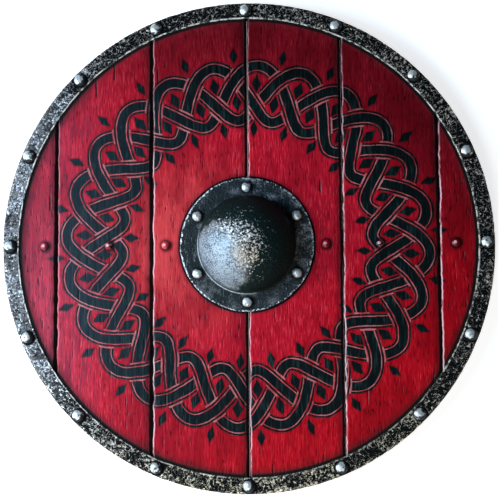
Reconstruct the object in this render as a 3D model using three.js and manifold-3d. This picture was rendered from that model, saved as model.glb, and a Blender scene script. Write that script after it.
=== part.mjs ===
// A round shield of upright wooden planks, lying on its back with its painted face up.
// Six planks stand side by side in a riveted steel channel that wraps their round edge. A steel
// boss covers the hand hole, and a wooden bar across the back is the grip that ties the planks.
// Millimetres, +Z out of the face, +Y towards the top of the shield. The origin is on the
// shield's axis, on the flat underside of the grip bar.

import * as THREE from "three";
import { mergeVertices } from "three/addons/utils/BufferGeometryUtils.js";
import Module from "manifold-3d";

const wasm = await Module();
wasm.setup();

// Driving dimensions
const shieldDiameter = 610;
const boardThickness = 10;
const outerPlankWidth = 66; // of the two outermost; the inner ones share the rest between them
const seamDrifts = [0, 0.7, 1.1, -0.4, 0]; // each seam's way off its even place, left to right
const plankGap = 0.4; // the open crack between two planks
const plankBevel = 3; // the V groove's half width and depth, along each front edge
const clearance = 0.3; // between pieces that touch

const rimSheet = 2;
const rimWidth = 21;
const rimEdgeRound = 1.6;
const rimLipBevel = 0.9;
const rimRivetCount = 16;

const domeRadius = 60.5;
const domeHeight = 52;
const domeFillet = 3;
const bossSheet = 2;
const bossFlangeWidth = 22.8;
const handHoleSetback = 3.5; // how far the hole's edge stands inside the dome's wall
const bossRivetCount = 6;
const bossRivetGap = 0.5; // from the dome's fillet to a rivet's head

const barWidth = 38;
const barThickness = 16;
const barEndGap = 12; // from the bar's end to the rim
const barCornerRadius = 10; // of its ends, seen from the back
const barEdgeRadius = 2.5;
const gripWidth = 29;
const gripThickness = 21;
const gripEdgeRadius = 7;
const gripNeck = 22; // the length over which the bar narrows, half of it inside the hand hole
const gripRise = 11; // the length over which its top drops, all inside the hand hole
const gripRiseGap = 6.5; // from the foot of that drop to the hand hole's edge

const headShoulder = { radius: 0.76, height: 0.68 }; // of a head's own radius and height
const rimHead = { radius: 8.3, height: 5 };
const bossHead = { radius: 7, height: 4.6 };
const smallHead = { radius: 5.7, height: 2.8 };
const shankRadius = 2.4;
const holeSlack = 0.4; // between a shank and its hole
const tail = { radius: 4.2, height: 1.7 };
const tailPocketDepth = 2.6; // the bar's pockets keep the tails off the ground
const tailPocketSlack = 1;
// Where each of the bar's rivets stands in the bare stretch of its plank, left to right, from 0 to 1.
const barRivetShares = [0.6, 0.55, 0.46, 0.34, 0.37, 0.6];
const barRivetMargin = 1; // from its head to a seam or to the boss

const roundSides = 72;
const bossSides = 36;
const domeSteps = 6;
const rivetSides = 10;
const holeSides = 8;

// Derived places
const shieldRadius = shieldDiameter / 2;
const rimInnerRadius = shieldRadius - rimWidth;
const rimRivetCircle = (shieldRadius + rimInnerRadius) / 2;
const boardRadius = shieldRadius - rimSheet - clearance;
const domeInnerRadius = domeRadius - bossSheet;
const handHoleRadius = domeInnerRadius - handHoleSetback;
const bossRadius = domeRadius + bossFlangeWidth;
const bossRivetCircle = domeRadius + domeFillet + bossRivetGap + bossHead.radius;
const barHalfLength = rimInnerRadius - barEndGap;
const neckStart = handHoleRadius - gripNeck / 2;
const neckEnd = handHoleRadius + gripNeck / 2;
const riseEnd = handHoleRadius - gripRiseGap;
const riseStart = riseEnd - gripRise;

const boardBack = barThickness + clearance;
const boardFront = boardBack + boardThickness;
const rimBack = boardBack - clearance - rimSheet;
const rimFront = boardFront + clearance + rimSheet;
const bossUnderside = boardFront + clearance;
const bossFlangeTop = bossUnderside + bossSheet;

const paint = {
  board: { color: 0xb01428, roughness: 0.55, metalness: 0 },
  rim: { color: 0x6a6f74, roughness: 0.45, metalness: 0.9 },
  boss: { color: 0x3c454b, roughness: 0.4, metalness: 0.9 },
  rivet: { color: 0xc9ced2, roughness: 0.35, metalness: 1 },
  barRivet: { color: 0x8f1524, roughness: 0.5, metalness: 0.1 },
  grip: { color: 0x6b4426, roughness: 0.6, metalness: 0 },
};

// Geometry helpers

// A manifold-3d solid of a closed geometry.
function solidOf(geometry) {
  const bare = new THREE.BufferGeometry();
  bare.setAttribute("position", geometry.getAttribute("position"));
  if (geometry.index) bare.setIndex(geometry.index);
  const merged = mergeVertices(bare, 1e-4);
  return new wasm.Manifold(
    new wasm.Mesh({
      numProp: 3,
      vertProperties: new Float32Array(merged.getAttribute("position").array),
      triVerts: new Uint32Array(merged.index.array),
    }),
  );
}

function geometryOf(solid) {
  const { numProp, numVert, vertProperties, triVerts } = solid.getMesh();
  const positions = new Float32Array(numVert * 3);
  for (let i = 0; i < numVert; i++) {
    positions.set(vertProperties.subarray(i * numProp, i * numProp + 3), i * 3);
  }
  const geometry = new THREE.BufferGeometry();
  geometry.setAttribute("position", new THREE.BufferAttribute(positions, 3));
  geometry.setIndex(new THREE.BufferAttribute(new Uint32Array(triVerts), 1));
  const flat = geometry.toNonIndexed();
  flat.computeVertexNormals();
  return flat;
}

function without(geometry, cutters) {
  return geometryOf(cutters.reduce((solid, cutter) => solid.subtract(solidOf(cutter)), solidOf(geometry)));
}

// Turns a profile of [radius, height] points round the Z axis.
function turned(profile, sides) {
  const points = profile.map(([radius, height]) => new THREE.Vector2(radius, height));
  return new THREE.LatheGeometry(points, sides).rotateX(Math.PI / 2);
}

// A round bar along Z at (x, y), for cutting holes.
function roundCutter(radius, x, y, low, high) {
  const cutter = new THREE.CylinderGeometry(radius, radius, high - low, holeSides);
  return cutter.rotateX(Math.PI / 2).translate(x, y, (low + high) / 2);
}

// Points [x, y] on a circle, the first one at the top.
function ringOf(count, radius) {
  return Array.from({ length: count }, (_, i) => {
    const angle = Math.PI / 2 - (i * 2 * Math.PI) / count;
    return [radius * Math.cos(angle), radius * Math.sin(angle)];
  });
}

// A solid through closed sections, each an equal list of [x, y, z] points.
function lofted(sections) {
  const sides = sections[0].length;
  const positions = sections.flat(2);
  const triangles = [];
  for (let s = 0; s < sections.length - 1; s++) {
    for (let i = 0; i < sides; i++) {
      const next = (i + 1) % sides;
      const [a, b] = [s * sides + i, s * sides + next];
      const [c, d] = [a + sides, b + sides];
      triangles.push(a, b, d, a, d, c);
    }
  }
  const last = (sections.length - 1) * sides;
  for (let i = 1; i < sides - 1; i++) {
    triangles.push(0, i + 1, i);
    triangles.push(last, last + i, last + i + 1);
  }
  const geometry = new THREE.BufferGeometry();
  geometry.setAttribute("position", new THREE.Float32BufferAttribute(positions, 3));
  geometry.setIndex(triangles);
  return geometry;
}

function named(name, geometry, look) {
  const mesh = new THREE.Mesh(geometry, new THREE.MeshStandardMaterial(look));
  mesh.name = name;
  return mesh;
}

// 0 up to low, 1 from high, and a smooth S between them.
function eased(value, low, high) {
  return THREE.MathUtils.smoothstep(value, low, high);
}

// Where the planks meet, and where the rivets go

function seamPlaces() {
  const innerWidth = (2 * (boardRadius - outerPlankWidth)) / (seamDrifts.length - 1);
  return seamDrifts.map((drift, i) => outerPlankWidth - boardRadius + i * innerWidth + drift);
}

// Each plank has one rivet on the bar, in the stretch that the bar backs and the boss leaves bare.
function barRivetPlaces() {
  const bounds = [-barHalfLength, ...seamPlaces(), barHalfLength];
  const inset = smallHead.radius + barRivetMargin;
  const places = [];
  for (let i = 0; i < bounds.length - 1; i++) {
    const underBoss = (x) => Math.abs(x) < bossRadius;
    const low = underBoss(bounds[i]) ? bossRadius : bounds[i];
    const high = underBoss(bounds[i + 1]) ? -bossRadius : bounds[i + 1];
    places.push([THREE.MathUtils.lerp(low + inset, high - inset, barRivetShares[i]), 0]);
  }
  return places;
}

const seams = seamPlaces();
const rimRivets = ringOf(rimRivetCount, rimRivetCircle);
const bossRivets = ringOf(bossRivetCount, bossRivetCircle);
const barRivets = barRivetPlaces();

function shankHoles(places, low, high) {
  return places.map(([x, y]) => roundCutter(shankRadius + holeSlack, x, y, low, high));
}

// The planks

// The whole board, with the rim's own sides, so that the gap to the rim is even.
function boardDisc() {
  const profile = [
    [0, boardBack],
    [boardRadius, boardBack],
    [boardRadius, boardFront],
    [0, boardFront],
  ];
  return solidOf(turned(profile, roundSides));
}

// The strip that one plank takes from the board, with its front edges bevelled.
function plankStrip(left, right) {
  const shoulder = boardFront - plankBevel;
  const over = 1; // past the board's two faces
  const outline = new THREE.Shape([
    new THREE.Vector2(left, boardBack - over),
    new THREE.Vector2(right, boardBack - over),
    new THREE.Vector2(right, shoulder),
    new THREE.Vector2(right - plankBevel - over, boardFront + over),
    new THREE.Vector2(left + plankBevel + over, boardFront + over),
    new THREE.Vector2(left, shoulder),
  ]);
  const strip = new THREE.ExtrudeGeometry(outline, { depth: shieldDiameter, bevelEnabled: false });
  return solidOf(strip.rotateX(Math.PI / 2).translate(0, shieldRadius, 0));
}

function planks() {
  const group = new THREE.Group();
  const bounds = [-shieldDiameter, ...seams, shieldDiameter];
  const low = boardBack - 1;
  const high = boardFront + 1;
  const holes = shankHoles([...rimRivets, ...bossRivets, ...barRivets], low, high);
  const handHole = new THREE.CylinderGeometry(handHoleRadius, handHoleRadius, high - low, bossSides);
  handHole.rotateX(Math.PI / 2).translate(0, 0, (low + high) / 2);
  const board = [handHole, ...holes].reduce((solid, cutter) => solid.subtract(solidOf(cutter)), boardDisc());
  for (let i = 0; i < bounds.length - 1; i++) {
    const strip = plankStrip(bounds[i] + plankGap / 2, bounds[i + 1] - plankGap / 2);
    const plank = board.intersect(strip);
    group.add(named(`plank_${i + 1}`, geometryOf(plank), paint.board));
  }
  return group;
}

// The rim, a channel round the planks' edge

function rim() {
  const innerWall = shieldRadius - rimSheet;
  const profile = [
    [rimInnerRadius, boardFront + clearance],
    [innerWall, boardFront + clearance],
    [innerWall, boardBack - clearance],
    [rimInnerRadius, boardBack - clearance],
    [rimInnerRadius, rimBack],
    [shieldRadius - rimEdgeRound, rimBack],
    [shieldRadius, rimBack + rimEdgeRound],
    [shieldRadius, rimFront - rimEdgeRound],
    [shieldRadius - rimEdgeRound, rimFront],
    [rimInnerRadius + rimLipBevel, rimFront],
    [rimInnerRadius, rimFront - rimLipBevel],
    [rimInnerRadius, boardFront + clearance],
  ];
  const channel = turned(profile, roundSides);
  return named("rim", without(channel, shankHoles(rimRivets, rimBack - 1, rimFront + 1)), paint.rim);
}

// The boss, one sheet raised into a dome with a flat flange

// Points up one side of the dome, from its foot to its crown.
function domeArc(radius, height, foot) {
  return Array.from({ length: domeSteps + 1 }, (_, i) => {
    const angle = (i / domeSteps) * (Math.PI / 2);
    const onAxis = i === domeSteps;
    return [onAxis ? 0 : radius * Math.cos(angle), foot + height * Math.sin(angle)];
  });
}

function boss() {
  const outer = domeArc(domeRadius, domeHeight, bossFlangeTop).slice(1);
  const inner = domeArc(domeInnerRadius, domeHeight - bossSheet, bossFlangeTop);
  const profile = [
    ...inner.reverse(),
    [domeInnerRadius, bossUnderside],
    [bossRadius, bossUnderside],
    [bossRadius, bossFlangeTop],
    [domeRadius + domeFillet, bossFlangeTop],
    [domeRadius + domeFillet * 0.3, bossFlangeTop + domeFillet * 0.4], // the fillet's middle
    ...outer,
  ];
  const shell = turned(profile, bossSides);
  const holes = shankHoles(bossRivets, bossUnderside - 1, bossFlangeTop + 1);
  return named("boss", without(shell, holes), paint.boss);
}

// The grip bar, wide and flat behind the planks and a rounded handle across the hand hole

function barSection(x) {
  const out = Math.abs(x);
  const intoCorner = Math.max(0, out - (barHalfLength - barCornerRadius));
  const corner = barCornerRadius - Math.sqrt(Math.max(0, barCornerRadius ** 2 - intoCorner ** 2));
  const waist = eased(out, neckStart, neckEnd);
  const rise = eased(out, riseStart, riseEnd);
  const halfWidth = THREE.MathUtils.lerp(gripWidth, barWidth, waist) / 2 - corner;
  const top = THREE.MathUtils.lerp(gripThickness, barThickness, rise);
  const round = THREE.MathUtils.lerp(gripEdgeRadius, barEdgeRadius, waist);
  const corners = [
    [-1, 0, 180],
    [1, 0, 270],
    [1, 1, 0],
    [-1, 1, 90],
  ];
  const points = [];
  for (const [side, upper, start] of corners) {
    const y = side * (halfWidth - round);
    const z = upper ? top - round : round;
    for (const turn of [0, 45, 90]) {
      const angle = THREE.MathUtils.degToRad(start + turn);
      points.push([x, y + round * Math.cos(angle), z + round * Math.sin(angle)]);
    }
  }
  return points;
}

function gripBar() {
  const cornerTurns = [0, 30, 60, 90].map(THREE.MathUtils.degToRad);
  const cornerStations = cornerTurns.map((turn) => barHalfLength - barCornerRadius * (1 - Math.cos(turn)));
  const neckMiddle = (neckStart + neckEnd) / 2;
  const half = [...cornerStations, neckEnd, neckMiddle, riseEnd, (riseStart + riseEnd) / 2, riseStart];
  const stations = [...half.map((x) => -x), ...half.reverse()];
  const bar = lofted(stations.map(barSection));
  const holes = shankHoles(barRivets, -1, barThickness + 1);
  const pocketRadius = tail.radius + tailPocketSlack;
  const pockets = barRivets.map(([x, y]) => roundCutter(pocketRadius, x, y, -1, tailPocketDepth));
  return named("grip_bar", without(bar, [...holes, ...pockets]), paint.grip);
}

// The rivets: a domed head, a shank, and a tail hammered over behind

function rivet(name, head, headSeat, tailSeat, [x, y], look) {
  const profile = [
    [0, tailSeat - tail.height],
    [tail.radius, tailSeat],
    [shankRadius, tailSeat],
    [shankRadius, headSeat],
    [head.radius, headSeat],
    [head.radius * headShoulder.radius, headSeat + head.height * headShoulder.height],
    [0, headSeat + head.height],
  ];
  const mesh = named(name, turned(profile, rivetSides), look);
  mesh.position.set(x, y, 0);
  return mesh;
}

function rivets() {
  const group = new THREE.Group();
  const twoDigits = (i) => String(i + 1).padStart(2, "0");
  rimRivets.forEach((place, i) => {
    const name = `rim_rivet_${twoDigits(i)}`;
    group.add(rivet(name, rimHead, rimFront + clearance, rimBack - clearance, place, paint.rivet));
  });
  bossRivets.forEach((place, i) => {
    const name = `boss_rivet_${i + 1}`;
    group.add(rivet(name, bossHead, bossFlangeTop + clearance, boardBack - clearance, place, paint.rivet));
  });
  barRivets.forEach((place, i) => {
    const name = `bar_rivet_${i + 1}`;
    const tailSeat = tailPocketDepth - clearance;
    group.add(rivet(name, smallHead, boardFront + clearance, tailSeat, place, paint.barRivet));
  });
  return group;
}

const shield = new THREE.Group();
shield.name = "round_shield";
shield.add(planks(), rim(), boss(), gripBar(), rivets());

export default shield;
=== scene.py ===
"""A worn round shield: red planks with a black plait, a hammered steel rim and boss, seen from above."""

import math

import bmesh
import bpy
import numpy as np
from mathutils import Matrix, Vector


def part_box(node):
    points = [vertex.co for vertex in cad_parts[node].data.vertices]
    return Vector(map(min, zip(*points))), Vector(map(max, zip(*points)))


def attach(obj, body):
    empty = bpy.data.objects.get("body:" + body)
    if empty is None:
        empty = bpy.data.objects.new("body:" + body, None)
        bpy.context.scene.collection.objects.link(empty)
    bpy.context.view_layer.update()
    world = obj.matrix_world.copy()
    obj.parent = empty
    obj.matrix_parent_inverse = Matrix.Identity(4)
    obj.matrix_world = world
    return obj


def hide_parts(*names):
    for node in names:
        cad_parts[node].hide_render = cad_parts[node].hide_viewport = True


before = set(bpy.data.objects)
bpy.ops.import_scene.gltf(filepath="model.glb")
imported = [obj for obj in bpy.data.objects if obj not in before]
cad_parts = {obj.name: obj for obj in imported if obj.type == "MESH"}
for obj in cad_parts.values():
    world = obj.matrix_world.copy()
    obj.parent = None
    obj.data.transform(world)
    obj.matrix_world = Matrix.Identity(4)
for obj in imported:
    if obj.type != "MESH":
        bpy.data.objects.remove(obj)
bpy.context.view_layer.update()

MM = 0.001

# Places taken from the frame, in millimetres


def box_mm(node):
    low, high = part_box(node)
    return [v / MM for v in low], [v / MM for v in high]


def middle_mm(node):
    low, high = box_mm(node)
    return (low[0] + high[0]) / 2, (low[1] + high[1]) / 2


PLANKS = [f"plank_{i}" for i in range(1, 7)]
RIVETS = {
    "rim": [f"rim_rivet_{i:02d}" for i in range(1, 17)],
    "boss": [f"boss_rivet_{i}" for i in range(1, 7)],
    "bar": [f"bar_rivet_{i}" for i in range(1, 7)],
}

RIM_LOW, RIM_HIGH = box_mm("rim")
BOSS_LOW, BOSS_HIGH = box_mm("boss")
BAR_HIGH = box_mm("grip_bar")[1]
BOARD_BACK, BOARD_FRONT = (corner[2] for corner in box_mm("plank_3"))
SHIELD_RADIUS = RIM_HIGH[0]
BOARD_RADIUS = -box_mm("plank_1")[0][0]
BOSS_RADIUS = BOSS_HIGH[0]

# Sizes of the solids that no box shows
CLEARANCE = 0.3
SHEET = SHIELD_RADIUS - BOARD_RADIUS - CLEARANCE
RIM_WIDTH = 21.0
RIM_INNER = SHIELD_RADIUS - RIM_WIDTH
DOME_RADIUS = 60.5
BOSS_TOP = BOSS_LOW[2] + SHEET
HAND_HOLE = 55.0
BEVEL = 3.0
RIVET_RISE = {"rim": 5.0, "boss": 4.6, "bar": 2.8}
SHANK_RADIUS = 2.4
TAIL_RADIUS = 4.2
BAR_POCKET = 2.6  # how deep the bar rivets' tails are sunk

# Smooth noise on arrays, the same in every run


def lattice(ix, iy, seed):
    """A number from -1 to 1 for each whole-numbered place, from its mixed bits."""
    h = (ix.astype(np.int64) * 374761393 + iy.astype(np.int64) * 668265263 + seed * 2147483647) & 0xFFFFFFFF
    h = ((h ^ (h >> 13)) * 1274126177) & 0xFFFFFFFF
    h = ((h ^ (h >> 16)) * 2246822519) & 0xFFFFFFFF
    return (h ^ (h >> 15)) / 2147483647.5 - 1.0


def fade(t):
    """0 to 1 with no slope or bend at its ends."""
    return t * t * t * (t * (t * 6 - 15) + 10)


def noise2(x, y, seed):
    """Smooth noise from -1 to 1."""
    fx, fy = np.floor(x), np.floor(y)
    u, v = fade(x - fx), fade(y - fy)
    a, b = lattice(fx, fy, seed), lattice(fx + 1, fy, seed)
    c, d = lattice(fx, fy + 1, seed), lattice(fx + 1, fy + 1, seed)
    return (a + (b - a) * u) * (1 - v) + (c + (d - c) * u) * v


def fbm(x, y, seed, octaves=4, gain=0.5):
    """Noise of several sizes, each half as wide as the last and gain times as strong."""
    total, size, weight = np.zeros_like(x), 1.0, 0.0
    for i in range(octaves):
        total = total + size * noise2(x * 2**i, y * 2**i, seed + i * 17)
        weight += size
        size *= gain
    return total / weight


def smooth(value, low, high):
    """0 at low and 1 at high, with soft ends."""
    t = np.clip((value - low) / (high - low), 0, 1)
    return t * t * (3 - 2 * t)


def cell_walls(x, y, seed, jitter=0.9):
    """How far each place lies from the border between the two nearest of scattered points."""
    fx, fy = np.floor(x), np.floor(y)
    first = np.full(x.shape, 9.0)
    second = np.full(x.shape, 9.0)
    for i in (-1, 0, 1):
        for j in (-1, 0, 1):
            cx, cy = fx + i, fy + j
            px = cx + 0.5 + 0.5 * jitter * lattice(cx, cy, seed)
            py = cy + 0.5 + 0.5 * jitter * lattice(cx, cy, seed + 5)
            d = np.hypot(px - x, py - y)
            nearer = d < first
            second = np.where(nearer, first, np.minimum(second, d))
            first = np.where(nearer, d, first)
    return second - first


# The painted shadow and soot round the rivets' heads: how far it lies off centre, away from the light, and
# how far it reaches
RIVET_SHADOW_SHIFT = (1.0, -0.6)
RIVET_SHADOW_REACH = {"rim": 3.4, "boss": 5.5, "bar": 5.0}


def around_rivets(x, y, kind):
    """Painted shadow and soot: 1 at the foot of each head of that kind, falling to 0 away from it."""
    dark = np.zeros_like(x)
    for node in RIVETS[kind]:
        low, high = box_mm(node)
        cx, cy = middle_mm(node)
        head = (high[0] - low[0]) / 2
        far = np.hypot(x - cx - RIVET_SHADOW_SHIFT[0], y - cy - RIVET_SHADOW_SHIFT[1]) - head
        dark = np.maximum(dark, 1 - smooth(far, 0.0, RIVET_SHADOW_REACH[kind]))
    return dark


# Meshes from arrays


def in_rows(values, count):
    """The same values in each of count rows."""
    return values[None, :].repeat(count, 0)


def linked(name, data):
    made = bpy.data.objects.new(name, data)
    bpy.context.scene.collection.objects.link(made)
    return made


def mesh_object(name, points_mm, quads, values, tris=()):
    """A smooth-shaded object of quads and triangles, with one float attribute for each of values."""
    loops = np.concatenate([np.asarray(quads).reshape(-1), np.asarray(tris, dtype=np.int64).reshape(-1)])
    sizes = np.concatenate([np.full(len(quads), 4), np.full(len(tris), 3)]).astype(np.int32)
    used, loops = np.unique(loops, return_inverse=True)
    points = np.asarray(points_mm).reshape(-1, 3)[used] * MM
    mesh = bpy.data.meshes.new(name)
    mesh.vertices.add(len(points))
    mesh.vertices.foreach_set("co", points.astype(np.float32).reshape(-1))
    mesh.loops.add(len(loops))
    mesh.loops.foreach_set("vertex_index", loops.astype(np.int32))
    mesh.polygons.add(len(sizes))
    starts = np.concatenate([[0], np.cumsum(sizes)[:-1]])
    mesh.polygons.foreach_set("loop_start", starts.astype(np.int32))
    mesh.polygons.foreach_set("loop_total", sizes)
    mesh.update(calc_edges=True)
    mesh.polygons.foreach_set("use_smooth", np.ones(len(sizes), dtype=bool))
    for key, array in values.items():
        layer = mesh.attributes.new(key, "FLOAT", "POINT")
        layer.data.foreach_set("value", np.asarray(array, dtype=np.float32).reshape(-1)[used])
    mesh.validate()
    return linked(name, mesh)


def grid_quads(rows, columns, close_rows=False, close_columns=False):
    """Quads of a grid of points numbered row by row."""
    r = np.arange(rows if close_rows else rows - 1)
    c = np.arange(columns if close_columns else columns - 1)
    r0, c0 = np.meshgrid(r, c, indexing="ij")
    r1, c1 = (r0 + 1) % rows, (c0 + 1) % columns
    corners = [row * columns + column for row, column in ((r0, c0), (r0, c1), (r1, c1), (r1, c0))]
    return np.stack(corners, axis=-1).reshape(-1, 4)


def open_edges(quads):
    """The directed edges that only one quad uses."""
    edges = np.concatenate([quads[:, [i, (i + 1) % 4]] for i in range(4)]).astype(np.int64)
    many = edges.max() + 1
    forth, back = edges[:, 0] * many + edges[:, 1], edges[:, 1] * many + edges[:, 0]
    return edges[~np.isin(forth, back)]


def weld(piece, distance_mm=0.01):
    """Joins the points that lie on each other, such as those on an axis."""
    form = bmesh.new()
    form.from_mesh(piece.data)
    bmesh.ops.remove_doubles(form, verts=form.verts, dist=distance_mm * MM)
    bmesh.ops.dissolve_degenerate(form, dist=distance_mm * MM / 10, edges=form.edges)
    form.to_mesh(piece.data)
    form.free()


def dressed(piece, node, material):
    """Lets the piece stand for the solid of that name."""
    piece.data.materials.append(material)
    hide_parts(node)
    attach(piece, "root")


# Turned pieces: a closed section of [radius, height] points carried round the axis


def along_section(section):
    """The length along the section to each of its points."""
    steps = np.linalg.norm(np.diff(section[:, :2], axis=0), axis=1)
    return np.concatenate([[0], np.cumsum(steps)])


def carried_round(section, around):
    """The angles as a column, and the section's values with one row for each angle."""
    angle = np.linspace(0, 2 * np.pi, around, endpoint=False)[:, None]
    return angle, [in_rows(value, around) for value in section.T]


def outward_normals(section):
    tangent = np.roll(section, -1, 0)[:, :2] - np.roll(section, 1, 0)[:, :2]
    tangent /= np.maximum(np.linalg.norm(tangent, axis=1), 1e-9)[:, None]
    return -tangent[:, 1], tangent[:, 0]


def edge_wave(angle, per_radius, depth, seed, octaves):
    """A slow wave round a turned piece's edge."""
    return depth * fbm(per_radius * np.cos(angle), per_radius * np.sin(angle), seed, octaves)


def line(start, end, count, dent):
    t = np.linspace(0, 1, count, endpoint=False)
    return [(start[0] + (end[0] - start[0]) * s, start[1] + (end[1] - start[1]) * s, dent) for s in t]


def arc(centre, radius, start, end, count, dent):
    turns = np.radians(np.linspace(start, end, count, endpoint=False))
    return [(centre[0] + radius * math.cos(t), centre[1] + radius * math.sin(t), dent) for t in turns]


# Node material helpers


class Nodes:
    """Short calls that add nodes to one material and link them."""

    def __init__(self, name):
        self.material = bpy.data.materials.new(name)
        self.material.use_nodes = True
        self.tree = self.material.node_tree
        self.tree.nodes.clear()
        self.shader = self.node("BsdfPrincipled")
        output = self.node("OutputMaterial")
        self.tree.links.new(self.shader.outputs["BSDF"], output.inputs["Surface"])
        self.place = self.node("TexCoord").outputs["Object"]

    def node(self, kind):
        return self.tree.nodes.new("ShaderNode" + kind)

    def put(self, socket, value):
        """Links a socket, or sets a number or a colour."""
        if hasattr(value, "is_linked"):
            self.tree.links.new(value, socket)
        elif isinstance(value, tuple) and socket.type == "RGBA":
            socket.default_value = (*value, 1.0)
        else:
            socket.default_value = value

    def shade(self, **inputs):
        """Sets the shader's inputs, named with _ for a blank."""
        for key, value in inputs.items():
            self.put(self.shader.inputs[key.replace("_", " ")], value)

    def attribute(self, name):
        node = self.node("Attribute")
        node.attribute_name = name
        return node.outputs["Fac"]

    def math(self, operation, *values):
        node = self.node("Math")
        node.operation = operation
        for socket, value in zip(node.inputs, values):
            self.put(socket, value)
        return node.outputs[0]

    def total(self, *terms):
        """The sum of (value, weight) pairs."""
        result = 0.0
        for value, weight in terms:
            result = self.math("MULTIPLY_ADD", value, weight, result)
        return result

    def chain(self, operation, first, *others):
        result = first
        for value in others:
            result = self.math(operation, result, value)
        return result

    def least(self, *values):
        return self.chain("MINIMUM", *values)

    def most(self, *values):
        return self.chain("MAXIMUM", *values)

    def times(self, *values):
        return self.chain("MULTIPLY", *values)

    def swing(self, noise):
        """Noise moved down to lie about 0."""
        return self.math("SUBTRACT", noise, 0.5)

    def ramp(self, value, low, high, out_low=0.0, out_high=1.0):
        """out_low at low and out_high at high, with soft ends. Low may be above high."""
        node = self.node("MapRange")
        node.interpolation_type = "SMOOTHSTEP"
        for socket, number in zip(node.inputs, (value, low, high, out_low, out_high)):
            self.put(socket, number)
        return node.outputs[0]

    def mix(self, fac, a, b, blend="MIX"):
        """Colour a where fac is 0 and b where it is 1."""
        node = self.node("Mix")
        node.data_type, node.blend_type = "RGBA", blend
        self.put(node.inputs[0], fac)
        self.put(node.inputs[6], a)
        self.put(node.inputs[7], b)
        return node.outputs[2]

    def axes(self):
        """The place on the shield in metres, as x, y and z."""
        node = self.node("SeparateXYZ")
        self.put(node.inputs[0], self.place)
        return node.outputs

    def distance(self, x_mm, y_mm):
        """The distance from the upright line through a place, in metres."""
        x, y, _ = self.axes()
        dx, dy = self.math("SUBTRACT", x, x_mm * MM), self.math("SUBTRACT", y, y_mm * MM)
        return self.math("SQRT", self.math("ADD", self.times(dx, dx), self.times(dy, dy)))

    def noise(self, grain_mm, detail=4.0, roughness=0.55, stretch=(1, 1, 1), shift=(0, 0, 0), distortion=0.0):
        """Noise with grains of about grain_mm, longer along an axis whose stretch is below 1."""
        mapping = self.node("Mapping")
        self.put(mapping.inputs["Vector"], self.place)
        mapping.inputs["Location"].default_value = shift
        mapping.inputs["Scale"].default_value = stretch
        node = self.node("TexNoise")
        self.put(node.inputs["Vector"], mapping.outputs[0])
        numbers = (1 / (grain_mm * MM), detail, roughness, distortion)
        for key, number in zip(("Scale", "Detail", "Roughness", "Distortion"), numbers):
            node.inputs[key].default_value = number
        return node.outputs["Fac"]

    def bump(self, height, distance_mm, strength):
        node = self.node("Bump")
        node.inputs["Strength"].default_value = strength
        node.inputs["Distance"].default_value = distance_mm * MM
        self.put(node.inputs["Height"], height)
        return node.outputs[0]


# The painted plait: three ribbons woven round the boss, with lozenges in its gaps

PLAIT_RADIUS = 190.0
PLAIT_REACH = 35.0
PLAIT_TURNS = 8
RIBBON_HALF = 9.2
RIBBON_GAP = 2.2
VEIN_INSET = 3.1
VEIN_HALF = 0.65
LONG_LOZENGE = (12.0, 6.5)
SHORT_LOZENGE = (11.0, 5.2)
PLAIT_HALF = PLAIT_REACH + RIBBON_HALF
# The rings of lozenges: how far outside the plait's middle, their half sizes, and their turn from a loop
LOZENGE_RINGS = (
    (12.0, LONG_LOZENGE, 1),
    (-12.0, LONG_LOZENGE, -1),
    (PLAIT_HALF + 3.0, SHORT_LOZENGE, -1),
    (-PLAIT_HALF - 1.0, SHORT_LOZENGE, 1),
)
BRUSH_WANDER, BRUSH_WAVE = 0.9, 14.0
BRUSH_SEEDS = (31, 67)
# The search for the nearest place on a ribbon's middle line: steps, and their share and limit in radians
FOOT_STEPS, FOOT_DAMPING, LONGEST_STEP = 5, 0.8, 0.04
NO_PAINT = 99.0  # a distance beyond any paint


def ribbon_offset(radius, angle, phase):
    """How far each place lies from one ribbon's middle line, which waves in and out round the ring."""
    foot = angle
    for _ in range(FOOT_STEPS):
        turn = PLAIT_TURNS * foot + phase
        path = PLAIT_RADIUS + PLAIT_REACH * np.sin(turn)
        slope = PLAIT_REACH * PLAIT_TURNS * np.cos(turn)
        outward, along = radius * np.cos(angle - foot) - path, radius * np.sin(angle - foot)
        step = (outward * slope + along * path) / (slope**2 + path**2)
        foot = foot + FOOT_DAMPING * np.clip(step, -LONGEST_STEP, LONGEST_STEP)
    return np.abs(outward * path - along * slope) / np.hypot(slope, path)


def lozenges(radius, angle, at, half_sizes, offset):
    """The distance to the edge of a ring of lozenges, one at each loop of the plait, below 0 inside."""
    step = 2 * np.pi / (3 * PLAIT_TURNS)
    local = (angle - offset + step / 2) % step - step / 2
    along, across = np.abs(radius * np.cos(local) - at), np.abs(radius * np.sin(local))
    long_half, short_half = half_sizes
    return (along * short_half + across * long_half - long_half * short_half) / math.hypot(*half_sizes)


def painting(x, y):
    """The distances that the painted pattern is drawn from, one attribute each."""
    wander = [BRUSH_WANDER * fbm(x / BRUSH_WAVE, y / BRUSH_WAVE, seed, 3) for seed in BRUSH_SEEDS]
    px, py = x + wander[0], y + wander[1]
    radius, angle = np.hypot(px, py), np.arctan2(py, px)
    values = {f"ribbon_{k}": ribbon_offset(radius, angle, 2 * np.pi * k / 3) for k in range(3)}
    loop = np.pi / 2 / PLAIT_TURNS
    rings = [lozenges(radius, angle, PLAIT_RADIUS + out, half_sizes, side * loop)
             for out, half_sizes, side in LOZENGE_RINGS]
    values["lozenge"] = np.minimum.reduce(rings)
    return values


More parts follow.
